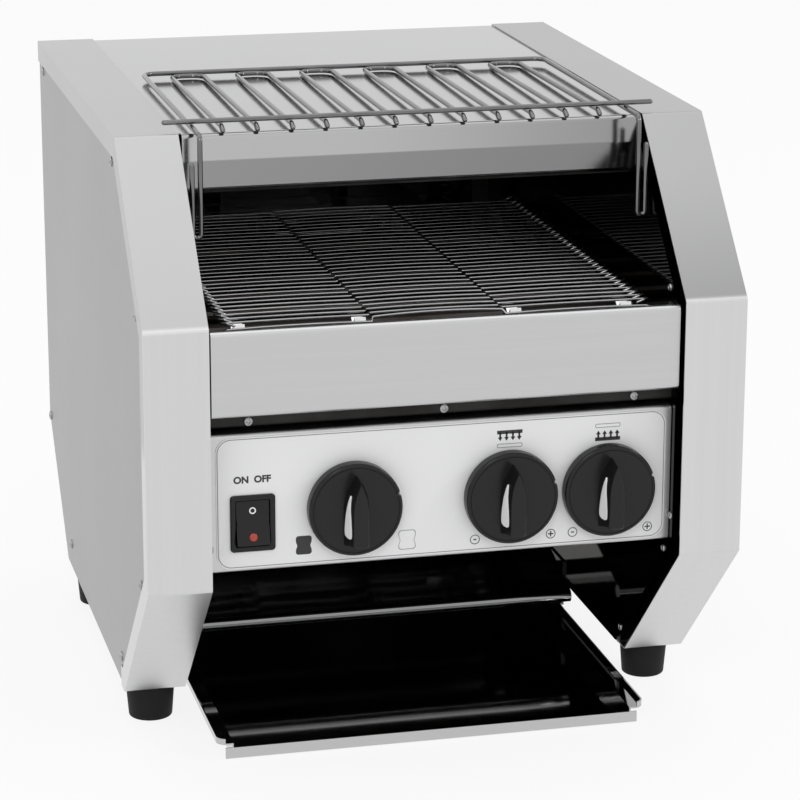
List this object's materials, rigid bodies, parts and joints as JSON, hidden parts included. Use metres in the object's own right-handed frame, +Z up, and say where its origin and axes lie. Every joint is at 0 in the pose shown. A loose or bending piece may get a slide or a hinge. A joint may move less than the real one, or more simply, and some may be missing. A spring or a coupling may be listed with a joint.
{
  "type": "conveyor toaster",
  "caption": "Countertop conveyor toaster: stepped steel body, wire belt through a wide mouth, control panel with knobs and a rocker, pull-out tray and a wire rack on top.",
  "frame": {"origin": "on the table under the middle of the machine, halfway between the knobs' faces and the rear panel", "axes": "+Z up, +X to the right hand of someone facing the controls, +Y towards the rear; bread enters at -Y"},
  "size_m": [0.3712, 0.454, 0.3901],
  "materials": {
    "stainless": "brushed",
    "inner_steel": "dull mill finish",
    "gland_plastic": "matt",
    "foot_rubber": "matt",
    "label_film": "matt printed film",
    "switch_plastic": "gloss",
    "knob_plastic": "satin",
    "shaft_steel": "machined",
    "regulator_plastic": "matt",
    "belt_wire": "drawn wire",
    "bearing_brass": "machined",
    "motor_paint": "satin",
    "heater_tube": "oxidised",
    "holder_paint": "matt",
    "rack_wire": "bright",
    "screw_steel": "bright"
  },
  "bodies": {
    "housing": {"cheek_cover_left": "stainless", "cheek_cover_right": "stainless", "side_panel_left": "stainless", "side_panel_right": "stainless", "inner_wall_left": "inner_steel", "inner_wall_right": "inner_steel", "base_channel_left": "inner_steel", "base_channel_right": "inner_steel", "top_cover": "stainless", "rear_panel": "stainless", "cable_gland": "gland_plastic", "feet": "foot_rubber", "front_fascia": "stainless", "control_panel": "stainless", "panel_label": "label_film", "switch_frame": "switch_plastic", "regulators": "regulator_plastic", "heat_shield": "inner_steel", "wire_belt": "belt_wire", "shaft_bearings": "bearing_brass", "gearmotor": "motor_paint", "upper_heaters": "heater_tube", "lower_heaters": "heater_tube", "heater_holders": "holder_paint", "upper_reflector": "inner_steel", "lower_reflector": "inner_steel", "toast_chute": "inner_steel", "chute_brackets": "inner_steel", "tray_runners": "inner_steel", "side_screws": "screw_steel", "front_screws": "screw_steel"},
    "front_roller": {"front_shaft": "shaft_steel", "front_wheels": "shaft_steel"},
    "drive_roller": {"drive_shaft": "shaft_steel", "drive_wheels": "shaft_steel"},
    "speed_knob": {"knob_speed": "knob_plastic", "spindle_speed": "shaft_steel"},
    "upper_heat_knob": {"knob_upper_heat": "knob_plastic", "spindle_upper_heat": "shaft_steel"},
    "lower_heat_knob": {"knob_lower_heat": "knob_plastic", "spindle_lower_heat": "shaft_steel"},
    "rocker": {"switch_rocker": "switch_plastic"},
    "tray": {"collection_tray": "stainless"},
    "rack": {"rack_frame": "rack_wire", "rack_rail": "rack_wire", "rack_wires": "rack_wire"}
  },
  "joints": [
    {"name": "drive_roller_spin", "type": "hinge", "parent": "housing", "child": "drive_roller", "pos_m": [0, 0.10409, 0.254], "axis": [1, 0, 0], "continuous": true},
    {"name": "front_roller_spin", "type": "hinge", "parent": "housing", "child": "front_roller", "pos_m": [0, -0.181, 0.254], "axis": [1, 0, 0], "continuous": true},
    {"name": "speed_knob_turn", "type": "hinge", "parent": "housing", "child": "speed_knob", "pos_m": [-0.0566, -0.205, 0.166], "axis": [0, 1, 0], "range_deg": [-135, 135]},
    {"name": "upper_heat_knob_turn", "type": "hinge", "parent": "housing", "child": "upper_heat_knob", "pos_m": [0.0409, -0.205, 0.166], "axis": [0, 1, 0], "range_deg": [-135, 135]},
    {"name": "lower_heat_knob_turn", "type": "hinge", "parent": "housing", "child": "lower_heat_knob", "pos_m": [0.1031, -0.205, 0.166], "axis": [0, 1, 0], "range_deg": [-135, 135]},
    {"name": "rocker_tilt", "type": "hinge", "parent": "housing", "child": "rocker", "pos_m": [-0.1184, -0.204, 0.16], "axis": [1, 0, 0], "range_deg": [0, 18]},
    {"name": "tray_slide", "type": "slide", "parent": "housing", "child": "tray", "axis": [0, -1, 0], "range_m": [0, 0.28]},
    {"name": "rack_lift", "type": "slide", "parent": "housing", "child": "rack", "axis": [0, 0, 1], "range_m": [0, 0.1]}
  ],
  "couplings": [
    {"joint": "front_roller_spin", "follows": "drive_roller_spin", "ratio": 1}
  ]
}
